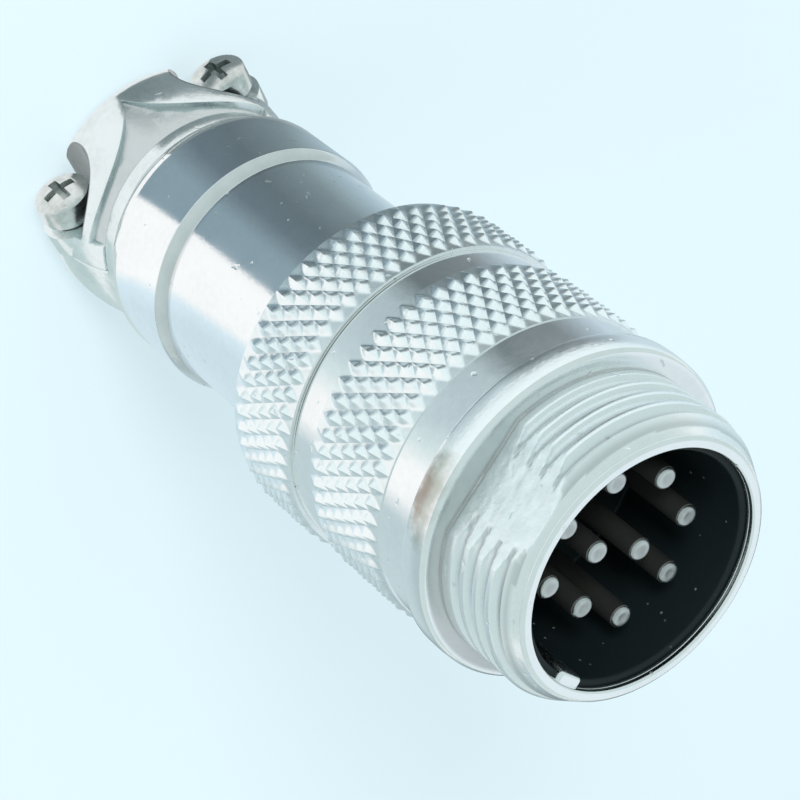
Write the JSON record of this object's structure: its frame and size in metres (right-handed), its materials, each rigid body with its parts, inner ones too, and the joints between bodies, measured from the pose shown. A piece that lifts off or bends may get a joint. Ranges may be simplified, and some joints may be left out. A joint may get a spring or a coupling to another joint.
{
  "type": "circular cable plug",
  "caption": "Round cable-end plug with a threaded nose, keyed pin insert, knurled front ring and tail, and a swivelling screwed cable clamp.",
  "frame": {"origin": "centre of the plug's rear end, on its axis, in the plane that it stands on", "axes": "+Z along the plug's axis from the cable clamp to the nose; the clamp screws lie along X and their heads face +Y"},
  "size_m": [0.0184, 0.0184, 0.0449],
  "materials": {
    "bright_nickel": "bright nickel plate on turned zinc alloy",
    "cast_nickel": "nickel plate on a casting, slightly warm",
    "screw_nickel": "nickel plated steel",
    "spring_steel": "bare spring steel",
    "pin_silver": "silver plated brass, dull",
    "phenolic": "black moulded phenolic, satin"
  },
  "bodies": {
    "clamp": {"clamp_base": "cast_nickel"},
    "tail": {"tail_shell": "bright_nickel", "clamp_retaining_ring": "spring_steel"},
    "front": {"front_shell": "bright_nickel", "front_ring": "bright_nickel", "contact_insert": "phenolic", "insert_retainer": "cast_nickel", "pin_1": "pin_silver", "pin_2": "pin_silver", "pin_3": "pin_silver", "pin_4": "pin_silver", "pin_5": "pin_silver", "pin_6": "pin_silver", "pin_7": "pin_silver", "pin_8": "pin_silver", "pin_9": "pin_silver", "pin_10": "pin_silver"},
    "saddle": {"clamp_saddle": "cast_nickel"},
    "left_screw": {"left_clamp_screw": "screw_nickel"},
    "right_screw": {"right_clamp_screw": "screw_nickel"}
  },
  "joints": [
    {"name": "tail_turn", "type": "hinge", "parent": "clamp", "child": "tail", "pos_m": [0, 0, 0.018], "axis": [0, 0, -1], "range_deg": [0, 1440]},
    {"name": "front_slide", "type": "slide", "parent": "clamp", "child": "front", "axis": [0, 0, 1], "range_m": [0, 0.004]},
    {"name": "left_screw_turn", "type": "hinge", "parent": "saddle", "child": "left_screw", "pos_m": [-0.0056, 0.003, 0.0017], "axis": [0, 1, 0], "range_deg": [0, 1440]},
    {"name": "right_screw_turn", "type": "hinge", "parent": "saddle", "child": "right_screw", "pos_m": [0.0056, 0.003, 0.0017], "axis": [0, 1, 0], "range_deg": [0, 1440]},
    {"name": "saddle_lift", "type": "slide", "parent": "clamp", "child": "saddle", "axis": [0, 1, 0], "range_m": [0, 0.0016]}
  ],
  "couplings": [
    {"joint": "tail_turn", "follows": "front_slide", "rad_per_m": 6283.2},
    {"joint": "left_screw_turn", "follows": "saddle_lift", "rad_per_m": 15708},
    {"joint": "right_screw_turn", "follows": "saddle_lift", "rad_per_m": 15708}
  ]
}
